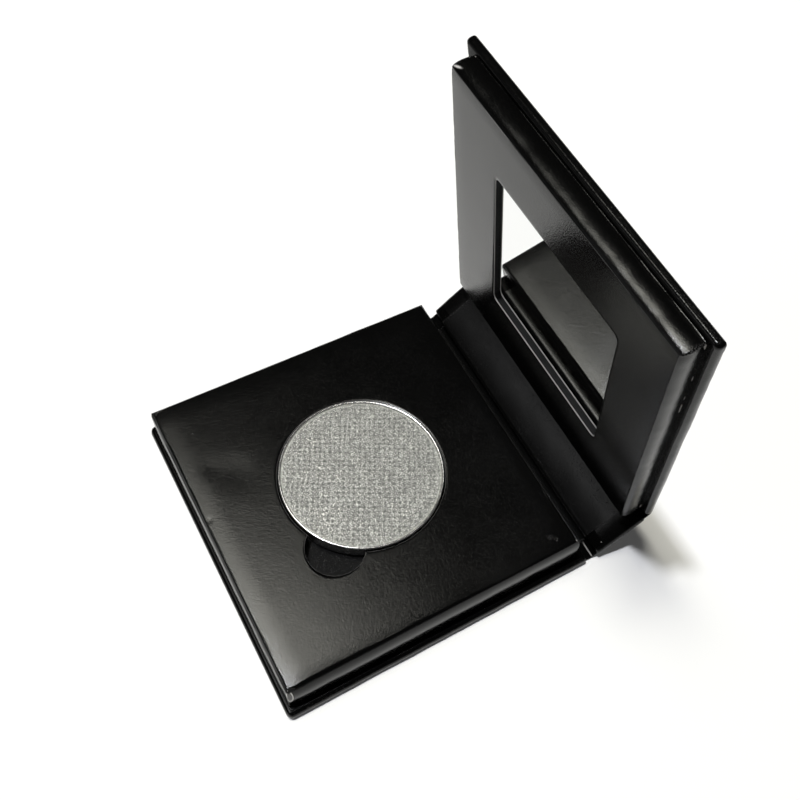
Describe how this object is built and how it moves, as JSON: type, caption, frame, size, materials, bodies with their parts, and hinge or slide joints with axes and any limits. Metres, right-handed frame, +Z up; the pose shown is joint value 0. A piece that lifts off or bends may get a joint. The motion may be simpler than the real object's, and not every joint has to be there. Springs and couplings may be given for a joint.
{
  "type": "magnetic pigment palette",
  "caption": "Square book-style palette of black paper-wrapped board, shown open: a round metal pan of pressed pigment in the tray, a folding spine, and a lid with a framed mirror.",
  "frame": {"origin": "on the underside of the base cover, below the centre of the tray", "axes": "+X along the hinge, +Y from the opening edge towards the hinge, +Z up out of the tray"},
  "size_m": [0.0752, 0.0885, 0.0849],
  "materials": {
    "wrap_paper": "satin",
    "liner_paper": "satin",
    "greyboard": "matte",
    "black_core": "matte",
    "floor_sheet": "matte",
    "tinplate": "polished",
    "pigment": "satin",
    "mirror_glass": "polished",
    "foam_tape": "matte",
    "magnet": "satin",
    "steel_plate": "satin"
  },
  "bodies": {
    "base": {"base_board": "greyboard", "base_wrap": "wrap_paper", "base_liner": "liner_paper", "tray_bottom_board": "greyboard", "tray_magnet_board": "greyboard", "well_floor_sheet": "floor_sheet", "tray_well_core": "black_core", "tray_wrap": "wrap_paper", "well_magnet": "magnet", "closure_magnets": "magnet"},
    "pan": {"pan": "tinplate", "pressed_pigment": "pigment"},
    "spine": {"spine_board": "greyboard", "spine_wrap": "wrap_paper", "spine_liner": "liner_paper"},
    "lid": {"lid_board": "greyboard", "lid_wrap": "wrap_paper", "lid_liner": "liner_paper", "frame_back_board": "greyboard", "frame_mirror_board": "greyboard", "frame_face_board": "black_core", "frame_wrap": "wrap_paper", "mirror_glass": "mirror_glass", "mirror_tape": "foam_tape", "closure_plates": "steel_plate"}
  },
  "joints": [
    {"name": "spine_fold", "type": "hinge", "parent": "base", "child": "spine", "pos_m": [0, 0.03895, 0.0003], "axis": [1, 0, 0], "range_deg": [-38.25, 51.75]},
    {"name": "lid_fold", "type": "hinge", "parent": "spine", "child": "lid", "pos_m": [0, 0.05222, 0.01076], "axis": [1, 0, 0], "range_deg": [-60, 30]},
    {"name": "pan_turn", "type": "hinge", "parent": "base", "child": "pan", "pos_m": [-0.00045, 0.00015, 0.00645], "axis": [0, 0, 1], "continuous": true}
  ]
}
